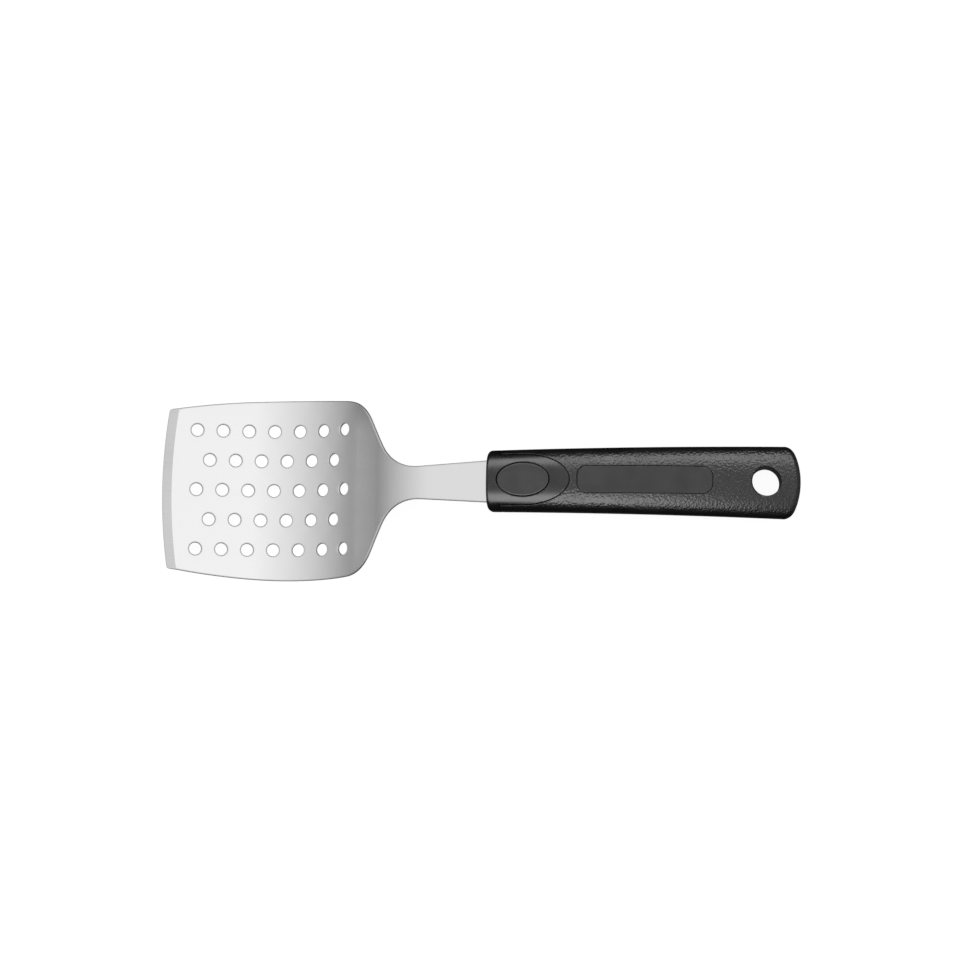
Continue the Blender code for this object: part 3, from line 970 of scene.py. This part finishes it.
def studio_world():
    """A sky that is bright overhead and darkens downwards, to both sides and past the butt."""
    world = bpy.data.worlds.new("studio")
    bpy.context.scene.world = world
    world.use_nodes = True
    tree = world.node_tree
    background = tree.nodes["Background"]
    coordinates = tree.nodes.new("ShaderNodeTexCoord")
    mapping = tree.nodes.new("ShaderNodeMapping")
    mapping.vector_type = "TEXTURE"
    turn = SEATED @ Matrix.Rotation(SKY_TILT, 4, "Y")
    mapping.inputs["Rotation"].default_value = turn.to_euler()
    tree.links.new(coordinates.outputs["Generated"], mapping.inputs["Vector"])
    split = tree.nodes.new("ShaderNodeSeparateXYZ")
    tree.links.new(mapping.outputs["Vector"], split.inputs["Vector"])
    rise = ranged(tree, split.outputs["Z"], 0, 1, from_low=-1, from_high=1)
    dome = ramped(tree, rise, SKY_STOPS)
    aside = tree.nodes.new("ShaderNodeMath")
    aside.operation = "ABSOLUTE"
    tree.links.new(split.outputs["Y"], aside.inputs[0])
    window = ranged(tree, aside.outputs["Value"], 1.0, 0.03, from_low=0.3, from_high=0.72)
    fade = ranged(tree, split.outputs["X"], 1.0, 0.6, from_low=0.3, from_high=1.0)
    light = multiplied(tree, multiplied(tree, dome, window), fade)
    tree.links.new(light, background.inputs["Color"])
    background.inputs["Strength"].default_value = SKY_STRENGTH


def strip_light(name, tilt, start, end, width, radiance, lit):
    """A long light that runs along the spatula, swung round it by tilt, for the lit pieces only."""
    swing = math.radians(tilt)
    w, n = LIGHT_DISTANCE * math.sin(swing), LIGHT_DISTANCE * math.cos(swing)
    middle = SEATED @ Vector(((start + end) / 2, w, n))
    light = bpy.data.lights.new(name, "AREA")
    light.shape = "RECTANGLE"
    light.size = end - start
    light.size_y = width
    light.energy = radiance * math.pi * (end - start) * width
    piece = bpy.data.objects.new(name, light)
    turn = SEATED.to_3x3().to_4x4() @ Matrix.Rotation(-swing, 4, "X")
    piece.matrix_world = Matrix.Translation(middle) @ turn
    piece.light_linking.receiver_collection = lit
    piece.visible_camera = False
    bpy.context.scene.collection.objects.link(piece)


def camera():
    """Above the spatula, square to it but for the small tilt and roll."""
    sine, cosine = math.sin(VIEW_ROLL), math.cos(VIEW_ROLL)
    right = Vector((cosine, -sine, 0))
    forward = Vector((sine, cosine, 0))
    up = forward * math.cos(VIEW_TILT) + Vector((0, 0, math.sin(VIEW_TILT)))
    back = Vector((0, 0, math.cos(VIEW_TILT))) - forward * math.sin(VIEW_TILT)
    axes = Matrix((right, up, back)).transposed().to_4x4()
    place = Matrix.Translation(VIEW_TARGET + back * VIEW_DISTANCE) @ axes
    data = bpy.data.cameras.new("camera")
    data.sensor_width = 36
    data.lens = data.sensor_width * VIEW_DISTANCE / VIEW_WIDTH
    data.clip_start = 0.01
    data.clip_end = 20
    piece = bpy.data.objects.new("camera", data)
    piece.matrix_world = SEATED @ place
    bpy.context.scene.collection.objects.link(piece)
    bpy.context.scene.camera = piece


# ---------------------------------------------------------------- build


def dress(piece, node, slot, *materials):
    """Give a piece its materials, hang it under the root body and hide the CAD node it stands in
    for.
    """
    coat(piece, *materials)
    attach(piece, "root")
    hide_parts(node)


def main():
    steel = satin_steel("satin_steel", low=0.8, high=0.81, roughness=0.26, lines=0.02)
    ground = satin_steel("ground_steel", low=0.55, high=0.66, roughness=0.28, lines=0.1)
    # The rolled edges and hole walls get a darker copy of the steel: painted shade that greys their
    # rims and damps their glints
    edge = satin_steel("rolled_edge_painted_shade_steel", low=0.68, high=0.72, roughness=0.48, lines=0.02)
    blade = stamping()
    dress(blade, "blade", "satin_steel", steel, ground, edge)
    hard = black_plastic("hard_black", grey=0.003, roughness=0.26)
    grained = black_plastic(
        "grained_black", grey=0.003, roughness=0.29, grain=0.08 * MM, cell=0.9 * MM
    )
    smooth = black_plastic("pad_black", grey=0.003, roughness=0.36)
    satin = black_plastic("plate_black", grey=0.003, roughness=0.34)
    handle = (
        (handle_core(), "handle_core", "hard_plastic", hard),
        (grip_skin(), "grip_skin", "grained_grip", grained),
        (thumb_pad(), "thumb_pad", "smooth_pad", smooth),
        (label_plate(), "label_plate", "satin_plate", satin),
    )
    metals = bpy.data.collections.new("metals")
    metals.objects.link(blade)
    plastics = bpy.data.collections.new("plastics")
    for piece, node, slot, material in handle:
        dress(piece, node, slot, material)
        plastics.objects.link(piece)
    turned = satin_steel("pin_steel", low=0.5, high=0.6, roughness=0.3, lines=0.2)
    for node in ("tang_pin_front", "tang_pin_rear"):
        coat(frame["nodes"][node], turned)

    sweep()
    studio_world()
    for lit, lights in ((plastics, PLASTIC_LIGHTS), (metals, STEEL_LIGHTS)):
        for light in lights:
            strip_light(*light, lit)
    camera()
    scene = bpy.context.scene
    scene.view_settings.view_transform = "Standard"
    scene.view_settings.look = "None"


main()
